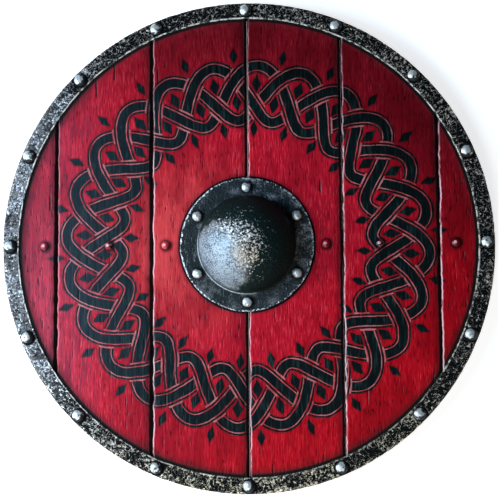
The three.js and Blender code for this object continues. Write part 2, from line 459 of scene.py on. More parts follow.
def pattern(n):
    """Node sockets for the distance to the black paint and to the pale lines within it, below 0 inside."""
    ribbons = [n.attribute(f"ribbon_{k}") for k in range(3)]
    black = [n.attribute("lozenge")]
    bodies = []
    for k, ribbon in enumerate(ribbons):
        body = n.math("SUBTRACT", ribbon, RIBBON_HALF)
        under_next = n.math("SUBTRACT", RIBBON_HALF + RIBBON_GAP, ribbons[(k + 1) % 3])
        from_vein = n.math("ABSOLUTE", n.math("SUBTRACT", ribbon, RIBBON_HALF - VEIN_INSET))
        black.append(n.most(body, under_next, n.math("SUBTRACT", VEIN_HALF, from_vein)))
        bodies.append(body)
    ink = n.least(*black)
    return ink, n.most(n.least(*bodies), n.times(ink, -1.0))


# The planks

FACE_STEP, BACK_STEP = (0.62, 2.3), (4.0, 8.0)  # the meshes' steps across and along the boards
SEAM_SHADOW = 9.0
SEAM_WAVE = 11.0
LEFT_WEAR, RIGHT_WEAR = 1.4, 0.9  # how far the bevels' edges wander
# How pale each plank's left bevel is, with worn paint and a painted highlight where it faces the light, and
# the heights over which that sets in
SEAM_RUBBED_AND_LIT = (0.0, 0.45, 1.0, 0.75, 0.95, 0.9)  # how bare each plank's left edge is
RUBBED_FROM, RUBBED_FULL = 210, 50  # the heights on the shield between which it gets that bare
FACE_SUNK = 0.22  # how far the painted face lies below the solid's, so that its ridges stay inside
NEAR_RIM, NEAR_BOSS = (225, 280), (95, 150)  # the radii between which the splits get more or fewer
PLANK_SEED, LEFT_SEED, RIGHT_SEED, BACK_SEED = 100, 300, 400, 500
SEED_STEP = 13

# Waves in the wood: how wide, how long and how deep
GRAIN_WANDER = (60, 220, 3.0)
FINE_RIDGES = (2.1, 60, 0.11)
BROAD_RIDGES = (9.0, 160, 0.14)
PLANE_MARKS = (14, 90, 0.12)
# Splits in the wood: how wide, how long, how deep, and which share of the places has one
SPLITS = ((2.3, 14.0, 0.5, 0.07), (1.7, 8.0, 0.4, 0.13), (4.5, 30.0, 0.6, 0.02))


def waves(x, y, size, seed, octaves, gain=0.5):
    """Noise drawn out along the wood."""
    wide, long, deep = size
    return deep * fbm(x / wide, y / long, seed, octaves, gain)


def grain_height(x, y, seed):
    """The wood's relief: long ridges that wander a little, and short splits along them."""
    gx = x + waves(x, y, GRAIN_WANDER, seed + 3, 2)
    height = waves(gx, y, FINE_RIDGES, seed, 3, 0.6) + waves(gx, y, BROAD_RIDGES, seed + 9, 2)
    from_middle = np.hypot(x, y)
    near_edge = smooth(from_middle, *NEAR_RIM) + 1 - smooth(from_middle, *NEAR_BOSS)
    for wide, long, depth, share in SPLITS:
        row = np.floor(gx / wide)
        cy = y / long + 0.5 * lattice(row, row * 0, seed + 41)
        column = np.floor(cy)
        chosen = lattice(row, column, seed + 53) > 1 - 2 * share * (0.5 + near_edge)
        across = np.abs(gx / wide - row - 0.5) * 2.7
        along = np.abs(cy - column - 0.5) * 2
        reach = 0.55 + 0.4 * lattice(row, column, seed + 59)
        dent = (1 - smooth(across, 0.15, 0.9)) * (1 - smooth(along, reach * 0.5, reach))
        height = height - np.where(chosen, depth * dent, 0)
    return height


def board_grid(left, right, step_x, step_y):
    """A plank's points seen from above, cut to the board's circle, and its quads round the hand hole."""
    columns = int(round((right - left) / step_x)) + 1
    rows = int(round(2 * BOARD_RADIUS / step_y)) + 1
    x = in_rows(np.linspace(left, right, columns), rows)
    y = np.linspace(-1, 1, rows)[:, None] * np.sqrt(np.maximum(BOARD_RADIUS**2 - x**2, 4.0))
    quads = grid_quads(rows, columns)
    middle = np.hypot(x.reshape(-1)[quads].mean(1), y.reshape(-1)[quads].mean(1))
    quads = quads[middle > HAND_HOLE]
    radius = np.hypot(x, y)
    edge = np.zeros(x.size, dtype=bool)
    edge[open_edges(quads).reshape(-1)] = True
    snapped = edge.reshape(x.shape) & (radius < HAND_HOLE + step_y)
    pull = np.where(snapped, HAND_HOLE / np.maximum(radius, 1), 1)
    return x * pull, y * pull, quads


def plank(name, index, material):
    """One board: a finely grained and bevelled face, plain edges and a planed back."""
    low, high = box_mm(name)
    left, right = low[0], high[0]
    x, y, quads = board_grid(left, right, *FACE_STEP)
    relief = grain_height(x, y, PLANK_SEED + index * SEED_STEP)
    along = y / SEAM_WAVE
    from_left = BEVEL - 0.2 + LEFT_WEAR * fbm(along, along * 0, LEFT_SEED + index) - (x - left)
    from_right = BEVEL + RIGHT_WEAR * fbm(along, along * 0, RIGHT_SEED + index) - (right - x)
    if index == 0:
        from_left = from_left * 0
    if index == len(PLANKS) - 1:
        from_right = from_right * 0 - SEAM_SHADOW
    drop = np.clip(np.maximum(from_left, from_right), 0, BEVEL + 0.6)
    flat = smooth(drop, 1.2, 0.0)
    z = np.minimum(BOARD_FRONT - FACE_SUNK - drop + relief * (0.35 + 0.65 * flat), BOARD_FRONT)
    front = np.stack([x, y, z], -1).reshape(-1, 3)
    foot = front * (1, 1, 0) + (0, 0, BOARD_BACK)

    back_x, back_y, back_quads = board_grid(left, right, *BACK_STEP)
    planed = PLANE_MARKS[2] + waves(back_x, back_y, PLANE_MARKS, BACK_SEED + index, 3)
    back = np.stack([back_x, back_y, BOARD_BACK + planed], -1).reshape(-1, 3)

    edges = open_edges(quads)
    count = len(front)
    walls = np.stack([edges[:, 0], edges[:, 0] + count, edges[:, 1] + count, edges[:, 1]], -1)
    all_quads = np.concatenate([quads, walls, back_quads[:, ::-1] + 2 * count])
    behind = np.zeros(count + len(back))
    values = {key: np.concatenate([value.reshape(-1), behind + NO_PAINT])
              for key, value in painting(x, y).items()}
    on_left = from_left > np.maximum(from_right, 0)
    on_face = {
        "relief": relief,
        "light_bevel": np.where(from_left > from_right, drop, 0),
        "dark_bevel": np.where(on_left, -SEAM_SHADOW, np.maximum(from_right, -SEAM_SHADOW)),
        "rubbed": SEAM_RUBBED_AND_LIT[index] * (0.4 + 0.6 * smooth(y, RUBBED_FROM, RUBBED_FULL)),
        "rivet_shadow_and_soot": around_rivets(x, y, "bar"),
        "front": np.ones_like(x),
    }
    values.update({key: np.concatenate([value.reshape(-1), behind]) for key, value in on_face.items()})
    made = mesh_object(name + "_painted", np.concatenate([front, foot, back]), all_quads, values)
    dressed(made, name, material)


RED = (0.58, 0.0060, 0.024)
BRIGHT_RED = (0.80, 0.045, 0.070)
CORAL = (0.84, 0.085, 0.082)
DEEP_RED = (0.20, 0.0020, 0.0085)
SCRAPED_RED = (0.20, 0.018, 0.045)
# Faded paint with a painted bluish sheen, towards the far left
FADED_RED_AND_SHEEN = (0.60, 0.070, 0.13)
PALE_PINK = (0.60, 0.21, 0.21)
BLACK = (0.0020, 0.0066, 0.0074)
WORN_BLACK = (0.012, 0.038, 0.036)
FADED_BLACK_AND_SHEEN = (0.010, 0.020, 0.026)
SCUFFED_BLACK = (0.12, 0.035, 0.040)
RUBBED_EDGE_AND_HIGHLIGHT = (0.86, 0.50, 0.54)
# Painted shade: a deeper, purer red at the lower right, where less light and sheen fall
LOWER_RIGHT_SHADE = (0.96, 0.45, 0.5)  # multiplied with the reds
# The two darkening colours serve for painted shade and shadow along the rim, the boss, the seams and round
# the rivets, and for dirt in the grain
GRIME_AND_SHADE = (0.06, 0.07, 0.08)  # multiplied with all the paint
DIRT_AND_SHADE = (0.005, 0.0012, 0.0016)
BACK_WOOD = ((0.13, 0.062, 0.026), (0.33, 0.185, 0.088))  # dark and light grain


def painted_face(n):
    """The worn paint's colour, and the coarse and the fine grain that it shows."""
    streaks = n.noise(2.6, 3, 0.6, (1, 0.10, 1))
    fine = n.noise(1.3, 2, 0.6, (1, 0.09, 1), (0.2, 0, 0))
    patches = n.noise(42, 4, 0.6, (1, 0.4, 1))

    # The boards: lighter and coral left of the boss, partly a painted pool of light, faded with a painted
    # sheen at the far left, a deeper red of painted shade at the lower right, ticked, scraped
    red = n.mix(n.ramp(n.total((streaks, 0.6), (fine, 0.4)), 0.36, 0.56, 0.42, 1.0), DEEP_RED, RED)
    red = n.mix(n.times(n.ramp(fine, 0.53, 0.68), n.ramp(patches, 0.32, 0.62)), red, BRIGHT_RED)
    coral_and_light_pool = n.times(n.ramp(n.distance(-75, 0), 0.03, 0.14, 0.6, 0.0), n.ramp(patches, 0.4, 0.6, 0.5, 1.0))
    red = n.mix(coral_and_light_pool, red, CORAL)
    x, y, _ = n.axes()
    red = n.mix(n.ramp(x, -0.15, -0.27, 0.0, 0.4), red, FADED_RED_AND_SHEEN)
    red = n.mix(n.ramp(patches, 0.58, 0.40, 0.0, 0.45), red, DEEP_RED)
    red = n.mix(n.ramp(n.total((x, 0.7), (y, -0.7)), 0.06, 0.22), red, LOWER_RIGHT_SHADE, "MULTIPLY")
    ticks = n.noise(2.0, 2, 0.5, (1, 0.17, 1), (0, 0.3, 0))
    red = n.mix(n.times(n.ramp(ticks, 0.60, 0.70), n.ramp(patches, 0.66, 0.42, 0.25, 0.9)), red, DIRT_AND_SHADE)
    scraped = n.ramp(n.noise(4.4, 3, 0.65, (1, 0.13, 1), (0.6, 0, 0)), 0.50, 0.60, 0.0, 0.6)
    red = n.mix(n.times(scraped, n.ramp(x, -0.180, -0.200)), red, SCRAPED_RED)

    # The plait's ragged black, faded with a painted sheen towards the left, the stain round it and its pale
    # outlines
    ink, pale = pattern(n)
    rough_edge = n.total((n.swing(streaks), 1.3), (n.swing(n.noise(6, 3)), 1.4))
    ink = n.math("ADD", ink, rough_edge)
    thick = n.swing(n.noise(16, 3))
    pale = n.total((pale, 1.0), (rough_edge, 0.5), (thick, 2.2))
    black_here = n.ramp(ink, -0.35, 0.3, 1.0, 0.0)
    stained = n.times(n.ramp(ink, -0.2, 0.5), n.ramp(ink, 0.6, 2.0, 1.0, 0.0))
    red = n.mix(n.times(stained, 0.55), red, DEEP_RED)
    red = n.mix(n.times(n.ramp(pale, 0.2, -0.5), n.ramp(thick, 0.16, -0.14, 0.35, 0.85)), red, PALE_PINK)
    # Faded black with a painted sheen towards the left
    black = n.mix(n.ramp(x, -0.02, -0.24, 0.0, 0.8), BLACK, FADED_BLACK_AND_SHEEN)
    black = n.mix(n.ramp(streaks, 0.50, 0.72), black, WORN_BLACK)
    black = n.mix(n.times(n.ramp(fine, 0.64, 0.74), n.ramp(patches, 0.5, 0.7)), black, SCUFFED_BLACK)
    return n.mix(black_here, red, black), streaks, fine


def plank_material():
    n = Nodes("painted_planks")
    paint, streaks, fine = painted_face(n)
    relief = n.attribute("relief")
    paint = n.mix(n.ramp(relief, -0.12, -0.55, 0.0, 0.85), paint, DIRT_AND_SHADE)

    # Dust and painted shade along the rim and the boss, painted shadow lines at their edges, and painted
    # shade towards the upper right
    from_axis = n.distance(0, 0)
    ragged = n.math("ADD", from_axis, n.times(n.noise(26, 3), 8 * MM))
    x, y, _ = n.axes()
    shade_upper_right = n.ramp(n.total((x, 0.5), (y, 1.0)), 0.02, 0.26)
    shade_upper_right = n.times(shade_upper_right, n.ramp(ragged, (RIM_INNER - 120) * MM, (RIM_INNER - 20) * MM, 0.0, 0.70))
    rim_dust_and_shade = n.ramp(ragged, (RIM_INNER - 11) * MM, (RIM_INNER + 4) * MM, 0.0, 0.75)
    rim_shadow_line = n.ramp(from_axis, (RIM_INNER - 4.4) * MM, (RIM_INNER - 2.8) * MM)
    boss_dust_and_shade = n.ramp(ragged, (BOSS_RADIUS + 12) * MM, (BOSS_RADIUS + 2) * MM, 0.0, 0.65)
    boss_shadow_line = n.ramp(from_axis, (BOSS_RADIUS + 2.8) * MM, (BOSS_RADIUS + 1.2) * MM)
    paint = n.mix(n.most(rim_dust_and_shade, shade_upper_right, boss_dust_and_shade), paint, GRIME_AND_SHADE, "MULTIPLY")
    # Painted shadow lines just inside the rim and just outside the boss, and painted shadow and soot round
    # the bar rivets
    paint = n.mix(n.most(rim_shadow_line, boss_shadow_line, n.times(n.attribute("rivet_shadow_and_soot"), 0.9)), paint, DIRT_AND_SHADE)

    # The seams: a rubbed edge on each board's left, facing the light, pale with worn paint and a painted
    # highlight; painted shadow and dirt on its right
    light_bevel, dark_bevel = n.attribute("light_bevel"), n.attribute("dark_bevel")
    # The pale worn paint and painted highlight on the bevel that faces the light
    worn_lit_edge = n.times(n.ramp(light_bevel, 0.4, 0.9), n.ramp(light_bevel, 2.2, 1.6))
    worn_lit_edge = n.times(worn_lit_edge, n.ramp(n.noise(8, 3, 0.65, (1, 0.4, 1)), 0.40, 0.54, 0.22, 1.0))
    # Painted shade in the bottom of the groove
    paint = n.mix(n.ramp(light_bevel, 1.5, 2.2), paint, DIRT_AND_SHADE)
    paint = n.mix(n.times(worn_lit_edge, n.attribute("rubbed")), paint, RUBBED_EDGE_AND_HIGHLIGHT)
    # Painted shadow and dirt on the bevel that faces away from the light
    paint = n.mix(n.ramp(dark_bevel, -SEAM_SHADOW, -1.0, 0.0, 0.55), paint, GRIME_AND_SHADE, "MULTIPLY")
    paint = n.mix(n.ramp(dark_bevel, -1.3, 0.2, 0.0, 0.96), paint, DIRT_AND_SHADE)

    wood_grain = n.noise(3.8, 5, 0.65, (1, 0.03, 1), (0, 0, 0.2), 0.6)
    wood = n.mix(n.ramp(wood_grain, 0.35, 0.68), *BACK_WOOD)
    painted = n.ramp(n.attribute("front"), 0.55, 0.75)
    dusty = n.most(rim_dust_and_shade, n.ramp(dark_bevel, -3.0, 0.0))
    rough = n.total((n.ramp(streaks, 0.3, 0.7, 0.31, 0.41), 1.0), (dusty, 0.3))
    height = n.total((streaks, 0.65), (fine, 0.35))
    n.shade(Base_Color=n.mix(painted, wood, paint), Roughness=rough, Specular_IOR_Level=0.2,
            Normal=n.bump(height, 0.16, 0.8))
    return n.material


def planks():
    material = plank_material()
    for index, name in enumerate(PLANKS):
        plank(name, index, material)


# Hammered steel

HIGHEST_MARK, LOWEST_MARK = 0.75, -1.4
RIM_SEED, BOSS_SEED = 700, 820
RIM_MARK, BOSS_MARK = 6.0, 6.5  # the width of one hammer mark
RIM_DENT, BOSS_DENT = 0.4, 0.5


def hammered(u, v, seed, size):
    """Overlapping hammer marks of about size mm with ridges between them, pits and a slow swell."""
    marks = np.minimum(cell_walls(u / size, v / size, seed), 0.6) / 0.6
    small = np.minimum(cell_walls(u / size * 2.1, v / size * 2.1, seed + 8), 0.6) / 0.6
    swell = fbm(u / 26, v / 26, seed + 2, 3)
    pits = fbm(u / 1.9, v / 1.9, seed + 6, 2)
    deep = smooth(fbm(u / 5.2, v / 5.2, seed + 11, 3), 0.12, 0.5)
    return 0.35 - 0.45 * marks - 0.35 * small + 0.35 * swell + 0.30 * pits - 0.6 * deep


def sunk(relief):
    """How far each place lies below the highest mark, at most 0, so that the sheet stays inside its solid."""
    return np.clip(relief, LOWEST_MARK, HIGHEST_MARK) - HIGHEST_MARK


# The rim

RIM_STATIONS = 1100
JOIN_BLEND = 30.0  # over this length the relief's end runs into its start
LIP_WAVE, RIM_WAVE = (30, 0.55), (22, 0.25)  # waves to the radius, and their depth
DARK_STEEL = (0.004, 0.005, 0.006)
GREY_STEEL = (0.90, 0.83, 0.73)
COOL_LIT_STEEL = (0.88, 0.87, 0.88)
WARM_LIT_STEEL = (0.99, 0.90, 0.69)
WARM_LIT_LIP = (0.78, 0.72, 0.58)


def rim_section():
    """The channel's outline as [radius, height, how far it may be dented]."""
    outer, inner, low, high = SHIELD_RADIUS, RIM_INNER, RIM_LOW[2], RIM_HIGH[2]
    bend, lip, floor_low, floor_high = 4.5, 0.8, low + SHEET - 0.3, high - SHEET + 0.3
    return np.array(
        arc((inner + lip, high - lip), lip, 180, 90, 4, 0.3)
        + line((inner + lip, high), (outer - bend, high), 22, 1.0)
        + arc((outer - bend, high - bend), bend, 90, 0, 10, 0.8)
        + line((outer, high - bend), (outer, low + bend), 5, 0.7)
        + arc((outer - bend, low + bend), bend, 0, -90, 8, 0.7)
        + line((outer - bend, low), (inner + lip, low), 10, 0.8)
        + arc((inner + lip, low + lip), lip, 270, 180, 3, 0.3)
        + line((inner, low + lip), (inner, floor_low), 1, 0)
        + line((inner, floor_low), (outer - SHEET, floor_low), 2, 0)
        + line((outer - SHEET, floor_low), (outer - SHEET, floor_high), 2, 0)
        + line((outer - SHEET, floor_high), (inner, floor_high), 2, 0)
        + line((inner, floor_high), (inner, high - lip), 2, 0)
    )


def rim():
    section = rim_section()
    angle, (radius, height, dent) = carried_round(section, RIM_STATIONS)
    normal_r, normal_z = outward_normals(section)
    u = (angle * SHIELD_RADIUS).repeat(len(section), 1)
    v = in_rows(along_section(section), RIM_STATIONS)
    whole_turn = 2 * np.pi * SHIELD_RADIUS
    closing = smooth(u, whole_turn - JOIN_BLEND, whole_turn)
    start, end = (hammered(u - back, v, RIM_SEED, RIM_MARK) for back in (0, whole_turn))
    relief = start * (1 - closing) + end * closing
    depth = RIM_DENT * dent * sunk(relief)
    inner_wave = edge_wave(angle, *LIP_WAVE, RIM_SEED + 10, 3)
    outer_wave = edge_wave(angle, *RIM_WAVE, RIM_SEED + 20, 3) - 0.7 * RIM_WAVE[1]
    inward = 1 - smooth(radius, RIM_INNER, RIM_INNER + 5)
    outward = smooth(radius, RIM_INNER + 6, SHIELD_RADIUS - 2)
    radius = radius + inward * (inner_wave + 0.1) + outward * outer_wave
    radius = np.minimum(radius + normal_r * depth, SHIELD_RADIUS - 0.02)
    height = np.clip(height + normal_z * depth, RIM_LOW[2], RIM_HIGH[2])
    x, y = radius * np.cos(angle), radius * np.sin(angle)
    lip = (1 - smooth(section[:, 0], RIM_INNER + 1.0, RIM_INNER + 2.6)) * (section[:, 1] > RIM_HIGH[2] - 1.5)
    values = {
        "relief": relief,
        "edge": in_rows(lip, RIM_STATIONS),
        "rivet_shadow_and_soot": around_rivets(x, y, "rim"),
    }
    quads = grid_quads(RIM_STATIONS, len(section), True, True)
    made = mesh_object("rim_hammered", np.stack([x, y, height], -1), quads, values)
    dressed(made, "rim", rim_material())


def rim_material():
    """Blackened steel rubbed bright on its grainy high spots and along its inner lip, with painted light:
    more bare and cooler towards the left, warmer low down, and painted shadow and soot round the rivets.
    """
    n = Nodes("rim_steel")
    grain = n.noise(4.0, 2, 0.65)
    squiggle = n.noise(11.0, 2, 0.5, shift=(0.3, 0, 0), distortion=2.4)
    ridge = n.ramp(n.math("ABSOLUTE", n.swing(squiggle)), 0.0, 0.03, 1.0, 0.0)
    blotch = n.noise(22, 4, 0.6)
    x, y, z = n.axes()
    # More bare steel towards the left and the bottom, and less towards the right: painted light where the
    # lamps fall
    handled = n.total((n.ramp(x, -0.30, -0.10, 1.0, 0.0), 0.10), (n.ramp(y, -0.30, -0.15, 1.0, 0.0), 0.04))
    facing = n.ramp(z, (RIM_HIGH[2] - 9) * MM, (RIM_HIGH[2] - 2) * MM, 0.4, 1.0)
    bare = n.total((n.attribute("relief"), 0.14), (grain, 1.5), (ridge, 0.46), (blotch, 0.8), (handled, 1.0),
                   (n.ramp(x, 0.20, 0.29), -0.05))
    bare = n.times(n.ramp(bare, 1.295, 1.37), n.ramp(n.noise(2.2, 2, 0.6), 0.38, 0.54, 0.25, 1.0))
    # More bare steel at the far left: painted light
    lit_far_left = n.times(n.ramp(x, -0.21, -0.29, 0.0, 0.24), n.ramp(blotch, 0.36, 0.50, 0.4, 1.0))
    specks = n.ramp(n.noise(2.7, 2, 0.6, shift=(0, 0.7, 0)), 0.40, 0.49, 0.12, 1.0)
    specks = n.most(specks, n.ramp(x, -0.27, -0.15))
    # No bare steel in the painted shadow and soot round the rivets
    clear = n.ramp(n.attribute("rivet_shadow_and_soot"), 0.15, 0.9, 1.0, 0.0)
    bare = n.times(n.most(bare, lit_far_left), specks, facing, clear)
    # The lower right, where the lip is less polished and tinted warm by a painted reflection
    lit_lower_right = n.times(n.ramp(y, -0.03, -0.15), n.ramp(x, 0.02, 0.12))
    kept = n.total((n.noise(6, 3, 0.7), 1.0), (lit_lower_right, -0.06))
    on_lip = n.ramp(n.attribute("edge"), 0.45, 0.9)
    # The polished inner lip, partly a painted highlight, with less of it at the bottom and the lower right
    polished = n.times(on_lip, n.ramp(kept, 0.45, 0.54, 0.06, 1.0), n.ramp(y, -0.28, -0.12, 0.55, 1.0))
    # The bare steel's colour, with painted reflections: cool towards the left, warm towards the bottom
    worn = n.mix(n.ramp(x, -0.12, -0.24), GREY_STEEL, COOL_LIT_STEEL)
    worn = n.mix(n.times(n.ramp(y, -0.10, -0.25), n.ramp(x, -0.22, -0.06, 0.35, 1.0)), worn, WARM_LIT_STEEL)
    colour = n.mix(polished, n.mix(bare, DARK_STEEL, worn), n.mix(lit_lower_right, GREY_STEEL, WARM_LIT_LIP))
    metal = n.math("SUBTRACT", n.ramp(bare, 0.0, 1.0, 0.2, 0.8), n.times(polished, 0.3))
    n.shade(Base_Color=colour, Metallic=metal, Roughness=n.ramp(bare, 0.0, 1.0, 0.62, 0.38),
            Specular_IOR_Level=0.08, Normal=n.bump(n.total((grain, 0.7), (ridge, 0.3)), 1.2, 1.0))
    return n.material


# The boss

BOSS_STATIONS = 360
FILLET_HIGH, FILLET_WIDE = 2.6, 3.0
FLANGE_WAVE = (4.5, 1.1)  # waves to the radius, and their depth
PATINA = (0.015, 0.023, 0.026)
DOME_BLACK = (0.004, 0.016, 0.015)
PITTED_METAL = (0.98, 0.96, 0.93)
SMOOTH_METAL_BLUE_SHEEN = (0.42, 0.49, 0.55)
WORN_AND_LIT_STEEL = (0.80, 0.84, 0.87)
BARE_STEEL = (0.86, 0.88, 0.92)
WARM_REFLECTION_TINT = (0.70, 0.52, 0.32)


def boss_section():
    """The sheet's outline as [radius, height, how far it may be dented], out from the crown and back."""
    low, top, rise = BOSS_LOW[2], BOSS_TOP, BOSS_HIGH[2] - BOSS_TOP
    inner = DOME_RADIUS - SHEET
    turns = math.pi / 2 * (1 - np.linspace(0, 1, 64, endpoint=False))
    dome = [(DOME_RADIUS * math.cos(t), top + rise * math.sin(t), 1.0)
            for t in turns if rise * math.sin(t) > FILLET_HIGH]
    fillet = [(DOME_RADIUS + 0.1 + FILLET_WIDE * t**2.2, top + FILLET_HIGH * (1 - t) ** 1.6, 0.4)
              for t in np.linspace(0.15, 1, 7)]
    flange = line((DOME_RADIUS + 4.2, top), (BOSS_RADIUS - 0.7, top), 20, 0.45)
    edge = [(BOSS_RADIUS - 0.2, top - 0.25, 0.3), (BOSS_RADIUS, top - 0.8, 0.2),
            (BOSS_RADIUS, low + 0.3, 0.0), (BOSS_RADIUS - 0.3, low, 0.0)]
    under = line((BOSS_RADIUS - 8, low), (inner + 0.4, low), 4, 0.0) + [(inner + 0.4, low + 0.4, 0.0)]
    hollow = [(max(inner * math.cos(t), 0.0), top + (rise - SHEET) * math.sin(t), -0.5)
              for t in np.linspace(0, math.pi / 2, 26)]
    return np.array(dome + fillet + flange + edge + under + hollow)


def boss():
    section = boss_section()
    angle, (radius, height, dent) = carried_round(section, BOSS_STATIONS)
    normal_r, normal_z = outward_normals(section)
    length = along_section(section)
    reach = in_rows(np.minimum(length, length[-1] - length + 4.0), BOSS_STATIONS)
    u, v = reach * np.cos(angle), reach * np.sin(angle)
    relief = hammered(u, v, BOSS_SEED, BOSS_MARK)
    rough_skin = pitted(u, v)
    depth = BOSS_DENT * np.abs(dent) * sunk(relief) * (0.35 + 0.65 * rough_skin)
    radius = np.maximum(radius + normal_r * depth * np.sign(dent), 0.0)
    height = height + normal_z * depth * np.sign(dent)
    wave = edge_wave(angle, *FLANGE_WAVE, BOSS_SEED + 10, 4) - 0.55 * FLANGE_WAVE[1]
    radius = np.minimum(radius + smooth(radius, DOME_RADIUS + 8, BOSS_RADIUS - 1) * wave, BOSS_RADIUS)
    height = np.clip(height, BOSS_LOW[2], BOSS_HIGH[2])
    x, y = radius * np.cos(angle), radius * np.sin(angle)
    points = np.stack([x, y, height], -1)
    points[:, 0] = points[:, 0].mean(0)
    edge = smooth(section[:, 0], BOSS_RADIUS - 5.5, BOSS_RADIUS - 0.5) * (section[:, 1] > BOSS_LOW[2] + 0.5)
    outside = np.arange(len(section)) < section[:, 0].argmax() + 2
    values = {
        "relief": relief,
        "edge": in_rows(edge, BOSS_STATIONS),
        "pitted": rough_skin,
        "outside": in_rows(outside, BOSS_STATIONS),
        "rivet_shadow_and_soot": around_rivets(x, y, "boss"),
    }
    made = mesh_object("boss_hammered", points, grid_quads(BOSS_STATIONS, len(section), True), values)
    weld(made)
    dressed(made, "boss", boss_material())


def pitted(u, v):
    """How pitted the dome is: least on the smooth patch at its lower left."""
    from_patch = np.hypot(u + 47, (v + 30) * 0.86) + 9 * fbm(u / 9, v / 9, BOSS_SEED + 20, 3)
    return smooth(from_patch, 35, 55)


def boss_material():
    """Dark patina on the flange, bare metal on the dome, bright on its left and bluish on its lower left,
    partly a painted highlight, pits between, a painted warm reflection low in the middle, and painted shadow
    and soot round the rivets.
    """
    n = Nodes("boss_steel")
    x, y, z = n.axes()
    from_axis = n.distance(0, 0)
    outside = n.attribute("outside")
    pits = n.noise(2.9, 2, 0.7, shift=(0.1, 0.4, 0))
    fine = n.noise(1.7, 3, 0.7)
    scratch = n.noise(2.2, 3, 0.6, (1, 0.12, 1), distortion=2.0)
    blotch = n.noise(18, 4, 0.6)
    rough_skin = n.attribute("pitted")
    ragged_z = n.math("ADD", z, n.times(n.swing(blotch), 12 * MM))
    dome = n.ramp(ragged_z, (BOSS_TOP + 1.5) * MM, (BOSS_TOP + 9) * MM)
    smooth_skin = n.math("SUBTRACT", 1.0, rough_skin)
    # Bare bright metal round a place left of the middle, where the light falls: partly a painted highlight
    from_lit_wear = n.math("ADD", n.distance(-12, -5), n.times(n.swing(blotch), 16 * MM))
    kept = n.ramp(from_lit_wear, 0.022, 0.046)
    clean_lit_metal = n.total((pits, 1.0), (fine, 0.6), (n.attribute("relief"), 0.12), (kept, -0.22))
    clean_lit_metal = n.times(n.ramp(clean_lit_metal, 0.76, 0.85), n.ramp(from_lit_wear, 0.046, 0.054, 1.0, 0.0))
    # Painted shade: the bright skin fades out towards the dome's foot
    foot = n.ramp(z, (BOSS_TOP + 3) * MM, (BOSS_TOP + 20) * MM, 0.08, 1.0)
    skin = n.times(foot, n.ramp(n.total((fine, 0.7), (blotch, 0.3)), 0.42, 0.56, 0.20, 0.95))
    clean_lit_metal = n.times(n.most(clean_lit_metal, n.times(smooth_skin, skin)), outside)

    scuffed = n.most(n.ramp(n.total((x, 0.8), (y, 0.6)), 0.02, 0.07, 0.5, 1.3),
                     n.ramp(x, -0.05, -0.07, 0.5, 1.1))
    cloudy = n.ramp(n.total((blotch, 0.6), (fine, 0.4)), 0.48, 0.64)
    flange_clean = n.times(n.total((n.ramp(scratch, 0.60, 0.70), 0.35), (cloudy, 0.35)), scuffed, outside)
    # A painted highlight: a bright line round the dome's foot on its lower left, towards the light
    foot_highlight = n.times(
        n.ramp(from_axis, (DOME_RADIUS - 0.2) * MM, (DOME_RADIUS + 0.5) * MM),
        n.ramp(from_axis, (DOME_RADIUS + 1.7) * MM, (DOME_RADIUS + 1.0) * MM),
        n.ramp(n.total((x, 1.0), (y, 0.9)), -0.035, -0.065),
        n.ramp(fine, 0.35, 0.55, 0.3, 1.0),
        outside,
    )
    patina = n.mix(flange_clean, PATINA, WORN_AND_LIT_STEEL)
    # The smooth patch's bluish colour is a painted reflection of the light
    skin_colour = n.mix(smooth_skin, PITTED_METAL, SMOOTH_METAL_BLUE_SHEEN)
    bare = n.mix(dome, patina, n.mix(clean_lit_metal, DOME_BLACK, skin_colour))
    bare = n.mix(n.times(foot_highlight, 0.6), bare, WORN_AND_LIT_STEEL)
    # A painted warm reflection low in the middle of the dome
    warm = n.times(n.ramp(n.distance(4, -14), 0.004, 0.028, 1.0, 0.0), clean_lit_metal)
    bare = n.mix(n.times(warm, 0.65), bare, WARM_REFLECTION_TINT)
    # Painted shadow and soot round the boss rivets
    bare = n.mix(n.times(n.attribute("rivet_shadow_and_soot"), 0.9), bare, DARK_STEEL)
    chips = n.total((n.noise(3.6, 3, 0.75), 1.2), (n.noise(26, 2), 0.5), (n.attribute("edge"), 0.6),
                    (n.ramp(x, -0.04, -0.08), 0.05))
    chipped = n.times(n.ramp(n.attribute("edge"), 0.0, 0.3), n.ramp(chips, 1.38, 1.50))
    shine = n.math("SUBTRACT", 0.65, n.times(smooth_skin, 0.25))
    metal = n.times(n.most(n.times(dome, clean_lit_metal), flange_clean), shine)
    rough = n.math("ADD", n.ramp(clean_lit_metal, 0.0, 1.0, 0.56, 0.36), n.times(smooth_skin, 0.16))
    height = n.total((n.times(pits, rough_skin), 1.2), (fine, 0.4))
    n.shade(Base_Color=n.mix(chipped, bare, BARE_STEEL), Metallic=metal, Roughness=rough,
            Specular_IOR_Level=0.12, Normal=n.bump(height, 1.4, 1.0))
    return n.material


# The rivets

RIVET_STATIONS = 28
LUMP_SIZE, LUMP_DEPTH = 4.2, 0.35
FLAT_SIZE, FLAT_DEPTH = 7.5, 0.5
UNROUND = 0.045
# Where the middle of each kind of head's polish and painted highlight lies, off centre towards the light, in
# mm off its axis, and between which shares of its radius they fade
RIVET_POLISH_AND_HIGHLIGHT = {
    "rim": (-2.2, 0.9, 0.50, 0.95),
    "boss": (-0.8, -1.0, 0.76, 1.05),
    "bar": (-1.3, 0.5, 0.22, 0.50),
}
RIVET_BLACK = (0.008, 0.010, 0.011)
RIVET_BRIGHT = (0.72, 0.75, 0.74)


